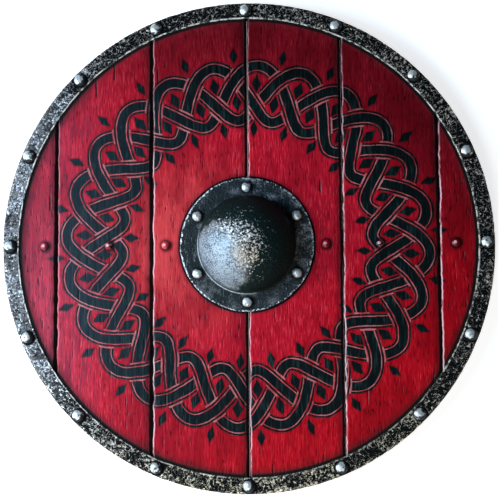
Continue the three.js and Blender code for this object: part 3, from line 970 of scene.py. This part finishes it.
def rivet_section(radius, seat, rise, tail_seat, tail_rise):
    """From the head's crown to the tail's end."""
    turns = np.linspace(0, math.pi / 2, 12)
    points = [(radius * math.sin(t), seat + rise * math.cos(t)) for t in turns]
    points += [(radius - 0.3, seat), (SHANK_RADIUS, seat), (SHANK_RADIUS, tail_seat)]
    points += [(TAIL_RADIUS, tail_seat), (TAIL_RADIUS, tail_seat - 0.3)]
    points += [(TAIL_RADIUS * 0.8, tail_seat - tail_rise * 0.75), (0.0, tail_seat - tail_rise)]
    return np.array(points)


def rivet(node, kind, seed, material, tail_seat):
    """One forged rivet, a little uneven, no two alike."""
    low, high = box_mm(node)
    cx, cy = middle_mm(node)
    reach = min(high[0] - low[0], high[1] - low[1]) / 2
    rise = RIVET_RISE[kind]
    seat = high[2] - rise
    section = rivet_section(reach, seat, rise, tail_seat, tail_seat - low[2])
    angle, (radius, height) = carried_round(section, RIVET_STATIONS)
    x, y = radius * np.cos(angle), radius * np.sin(angle)
    on_head = smooth(height, seat - 0.2, seat + 0.4)
    lumps = fbm(x / LUMP_SIZE + seed * 3.1, y / LUMP_SIZE, seed, 3)
    flats = np.maximum(fbm(x / FLAT_SIZE - seed * 1.7, y / FLAT_SIZE, seed + 3, 1), 0)
    beaten = (LUMP_DEPTH * (lumps + 0.6) + FLAT_DEPTH * flats) * smooth(reach - radius, 0, 1.5)
    height = height - on_head * beaten
    squeeze = 1 - UNROUND * (1 + fbm(np.cos(angle) * 1.3 + seed, np.sin(angle) * 1.3, seed + 5, 2))
    x, y = x * squeeze + cx, y * squeeze + cy
    dx, dy, start, end = RIVET_POLISH_AND_HIGHLIGHT[kind]
    # The polish and the painted highlight on each head, set off towards the light
    crown = on_head * (1 - smooth(np.hypot(x - cx - dx, y - cy - dy), reach * start, reach * end))
    # The side of each head away from the light, where shade is painted
    shaded_side = on_head * smooth((x - cx) * 0.85 - (y - cy) * 0.5, 0.2, reach * 0.8)
    values = {"crown": crown, "shaded_side": shaded_side, **painting(x, y)}
    quads = grid_quads(RIVET_STATIONS, len(section), True)
    made = mesh_object(node + "_forged", np.stack([x, y, height], -1), quads, values)
    weld(made)
    dressed(made, node, material)


def rivet_steel_material():
    """Crowns polished by wear, with a painted highlight on the side towards the light, and black round their
    feet.
    """
    n = Nodes("rivet_steel")
    speckle = n.noise(2.4, 3, 0.7)
    dents = n.total((n.swing(speckle), 2.2), (n.swing(n.noise(5.5, 1, 0.5)), 2.6))
    # Bright steel where polished and where the highlight is painted, black elsewhere
    crown = n.ramp(n.math("ADD", n.attribute("crown"), dents), 0.36, 0.72)
    n.shade(Base_Color=n.mix(crown, RIVET_BLACK, RIVET_BRIGHT), Metallic=n.times(crown, 0.5),
            Roughness=n.ramp(crown, 0.0, 1.0, 0.6, 0.38), Normal=n.bump(speckle, 0.45, 0.8))
    return n.material


def painted_rivet_material():
    """The planks' paint, worn pale on the crowns with a painted highlight towards the light, and painted
    shade on the side away from the light and towards the shield's right.
    """
    n = Nodes("painted_rivets")
    paint, _, fine = painted_face(n)
    x, _, _ = n.axes()
    # Painted shade on the side of each head away from the light, and more of it towards the shield's right
    painted_shade = n.most(n.times(n.attribute("shaded_side"), 0.8), n.ramp(x, 0.02, 0.18, 0.0, 0.6))
    paint = n.mix(painted_shade, paint, DIRT_AND_SHADE)
    # Pale worn paint on the crowns, with a painted highlight towards the light
    paint = n.mix(n.times(n.ramp(n.attribute("crown"), 0.35, 0.8), 0.85), paint, RUBBED_EDGE_AND_HIGHLIGHT)
    n.shade(Base_Color=paint, Roughness=n.ramp(fine, 0.3, 0.7, 0.24, 0.4), Normal=n.bump(fine, 0.2, 0.6))
    return n.material


def rivets():
    steel, painted = rivet_steel_material(), painted_rivet_material()
    kinds = (
        ("rim", 50, "rivet_steel", steel, RIM_LOW[2]),
        ("boss", 90, "rivet_steel", steel, BOARD_BACK),
        ("bar", 120, "painted_rivets", painted, BAR_POCKET),
    )
    for kind, first_seed, slot, material, tail_face in kinds:
        for seed, node in enumerate(RIVETS[kind], first_seed):
            rivet(node, kind, seed, material, tail_face - CLEARANCE)


# The grip bar

BAR_HALF_WIDTH, GRIP_HALF_WIDTH = 19.0, 14.5
BAR_THICKNESS, GRIP_THICKNESS = 16.0, 21.0
BAR_EDGE, GRIP_EDGE = 2.5, 7.0
BAR_CORNER = 10.0
WAIST = (HAND_HOLE - 11, HAND_HOLE + 11)  # from the middle, where the grip widens into the bar
HUMP = (HAND_HOLE - 17.5, HAND_HOLE - 6.5)  # and where it thins down to the bar
BAR_STATIONS, BAR_SIDES = 360, 72
BAR_SEED = 910
BAR_GRAIN = (70, 2.4)  # how long and how wide
CARVING = (30, 6)  # how long its cuts are, and how many go round
CARVED_DOWN, CARVED_IN = 0.008, 0.012  # as shares of the bar's half thickness and half width
BAR_WOOD = ((0.10, 0.045, 0.018), (0.27, 0.14, 0.062))  # dark and light grain
HANDLED_WOOD = (0.045, 0.018, 0.008)


def bar_section(x):
    """One closed section of the bar at x: wide and flat behind the planks, narrow and round at the grip."""
    out = abs(x)
    into = max(0.0, out - (BAR_HIGH[0] - BAR_CORNER))
    corner = BAR_CORNER - math.sqrt(max(0.0, BAR_CORNER**2 - into**2))
    waist, rise = smooth(out, *WAIST), smooth(out, *HUMP)
    half = GRIP_HALF_WIDTH + (BAR_HALF_WIDTH - GRIP_HALF_WIDTH) * waist - corner
    top = GRIP_THICKNESS + (BAR_THICKNESS - GRIP_THICKNESS) * rise
    edge = min(GRIP_EDGE + (BAR_EDGE - GRIP_EDGE) * waist, max(half, 0.4))
    turn = np.linspace(0, 2 * np.pi, BAR_SIDES, endpoint=False) + np.pi / 4
    big = np.maximum(np.abs(np.cos(turn)), np.abs(np.sin(turn)))
    y, z = np.cos(turn) / big * half, np.sin(turn) / big * top / 2
    flat_y, flat_z = half - edge, top / 2 - edge
    dy, dz = np.maximum(np.abs(y) - flat_y, 0), np.maximum(np.abs(z) - flat_z, 0)
    pull = np.minimum(1, edge / np.maximum(np.hypot(dy, dz), 1e-9))
    y = np.sign(y) * (np.minimum(np.abs(y), flat_y) + dy * pull)
    z = np.sign(z) * (np.minimum(np.abs(z), flat_z) + dz * pull)
    return y, z + top / 2


def grip_bar():
    straight = BAR_HIGH[0] - BAR_CORNER
    ends = straight + BAR_CORNER * np.sin(np.linspace(0, np.pi / 2, 10)[1:])
    stations = np.concatenate([-ends[::-1], np.linspace(-straight, straight, BAR_STATIONS), ends])
    y, z = (np.stack(rows) for rows in zip(*(bar_section(x) for x in stations)))
    x = stations[:, None].repeat(BAR_SIDES, 1)
    side = in_rows(np.linspace(0, CARVING[1], BAR_SIDES, endpoint=False), len(stations))
    grain = fbm(x / BAR_GRAIN[0], (y + z * 1.7) / BAR_GRAIN[1], BAR_SEED, 3, 0.6)
    relief = grain + 0.6 * fbm(x / CARVING[0], side, BAR_SEED + 5, 2)
    middle = z.mean(1, keepdims=True)
    z = np.where(z > 0.6, middle + (z - middle) * (1 - CARVED_DOWN * (1 + relief)), z)
    y = y * (1 - CARVED_IN * (1 + relief) * smooth(z, 0.0, 1.2))
    quads = grid_quads(len(stations), BAR_SIDES, False, True)[:, ::-1]
    corner = np.arange(1, BAR_SIDES - 1)
    fan = np.stack([corner * 0, corner, corner + 1], -1)
    caps = np.concatenate([fan, fan[:, ::-1] + (len(stations) - 1) * BAR_SIDES])
    made = mesh_object("grip_bar_carved", np.stack([x, y, z], -1), quads, {}, caps)
    dressed(made, "grip_bar", grip_material())


def grip_material():
    """Oiled wood with its grain along the bar, dark and smooth where the hand holds it."""
    n = Nodes("grip_wood")
    grain = n.noise(4.2, 5, 0.65, (0.035, 1, 1), distortion=0.8)
    fine = n.noise(0.7, 3, 0.6, (0.03, 1, 1))
    x, _, _ = n.axes()
    handled = n.ramp(n.math("ABSOLUTE", x), 0.045, 0.075, 0.55, 0.0)
    wood = n.mix(n.ramp(grain, 0.35, 0.68), *BAR_WOOD)
    rough = n.math("SUBTRACT", n.ramp(grain, 0.3, 0.7, 0.5, 0.66), n.times(handled, 0.3))
    n.shade(Base_Color=n.mix(handled, wood, HANDLED_WOOD), Roughness=rough,
            Normal=n.bump(n.total((grain, 1.0), (fine, 0.4)), 0.5, 0.7))
    return n.material


# The floor, the lights and the camera

PHOTO_WIDTH, PHOTO_HEIGHT = 499, 500
AXIS_PIXEL = (247.1, 244.2)  # where the shield's axis meets the rim's top
RADIUS_IN_PIXELS = 247.25  # the shield's radius at the height of the rim's top
CAMERA_LEAN = (0.035, -0.0785)  # how far the camera leans from overhead, to the right and down
CAMERA_DISTANCE = 1.32
CAMERA_ROLL = 0.4
FLOOR_REACH = 12.0
FLOOR_DROP = 0.0006
FLOOR_GREY = (0.72, 0.72, 0.72)
FLOOR_GLOW = 0.8
WHITE = (0.97, 0.985, 1.0)
SKY = (0.9, 0.95, 1.0)
SKY_STRENGTH = 0.02
# Each lamp's place, its size, both in metres, its watts and its colour
LAMPS = {
    "window_left": ((-1.45, -0.20, 0.85), (1.3, 1.0), 33, (0.80, 0.91, 1.0)),
    "sky_left": ((-0.75, -0.05, 1.10), (0.6, 0.6), 7, (0.38, 0.66, 1.0)),
    "lamp_below": ((-0.15, -1.45, 1.25), (0.6, 0.6), 12, (1.0, 0.92, 0.82)),
}


def floor():
    mesh = bpy.data.meshes.new("floor")
    r = FLOOR_REACH
    mesh.from_pydata([(-r, -r, 0), (r, -r, 0), (r, r, 0), (-r, r, 0)], [], [(0, 1, 2, 3)])
    made = linked("floor", mesh)
    made.location.z = -FLOOR_DROP
    n = Nodes("floor")
    n.shade(Base_Color=FLOOR_GREY, Roughness=0.9, Emission_Color=WHITE, Emission_Strength=FLOOR_GLOW)
    mesh.materials.append(n.material)


def area_light(name, place, size, watts, colour):
    """An oval lamp that faces the middle of the scene."""
    lamp = bpy.data.lights.new(name, "AREA")
    lamp.shape = "ELLIPSE"
    lamp.size, lamp.size_y = size
    lamp.energy, lamp.color = watts, colour
    made = linked(name, lamp)
    made.location = place
    made.rotation_euler = (-Vector(place)).to_track_quat("-Z", "Y").to_euler()


def lights():
    for name, lamp in LAMPS.items():
        area_light(name, *lamp)


def surroundings():
    """White where the camera looks past the floor, and nearly dark as a light."""
    world = bpy.data.worlds.new("world")
    bpy.context.scene.world = world
    world.use_nodes = True
    tree = world.node_tree
    tree.nodes.clear()
    output = tree.nodes.new("ShaderNodeOutputWorld")
    path, mix = tree.nodes.new("ShaderNodeLightPath"), tree.nodes.new("ShaderNodeMixShader")
    tree.links.new(path.outputs["Is Camera Ray"], mix.inputs[0])
    for socket, colour, strength in ((mix.inputs[1], SKY, SKY_STRENGTH), (mix.inputs[2], WHITE, 1.0)):
        background = tree.nodes.new("ShaderNodeBackground")
        background.inputs["Color"].default_value = (*colour, 1.0)
        background.inputs["Strength"].default_value = strength
        tree.links.new(background.outputs[0], socket)
    tree.links.new(mix.outputs[0], output.inputs["Surface"])


def camera():
    """Looks down past the shield's axis, with the lens shifted to where the photo has it."""
    lens = bpy.data.cameras.new("camera")
    made = linked("camera", lens)
    back = Vector((*CAMERA_LEAN, math.sqrt(1 - CAMERA_LEAN[0] ** 2 - CAMERA_LEAN[1] ** 2)))
    made.location = Vector((0, 0, RIM_HIGH[2] * MM)) + back * CAMERA_DISTANCE
    right = Vector((0, 1, 0)).cross(back).normalized()
    upright = Matrix((right, back.cross(right), back)).transposed()
    made.rotation_euler = (upright @ Matrix.Rotation(math.radians(-CAMERA_ROLL), 3, "Z")).to_euler()
    view_width = PHOTO_WIDTH / RADIUS_IN_PIXELS * SHIELD_RADIUS * MM
    lens.sensor_fit, lens.sensor_width = "HORIZONTAL", 36.0
    lens.lens = lens.sensor_width * CAMERA_DISTANCE / view_width
    lens.shift_x = (PHOTO_WIDTH / 2 - AXIS_PIXEL[0]) / PHOTO_WIDTH
    lens.shift_y = (AXIS_PIXEL[1] - PHOTO_HEIGHT / 2) / PHOTO_WIDTH
    bpy.context.scene.camera = made


def colours():
    view = bpy.context.scene.view_settings
    view.view_transform, view.look = "Standard", "None"
    view.exposure, view.gamma = 0.0, 1.0


camera()
lights()
surroundings()
colours()
floor()
planks()
rim()
boss()
rivets()
grip_bar()
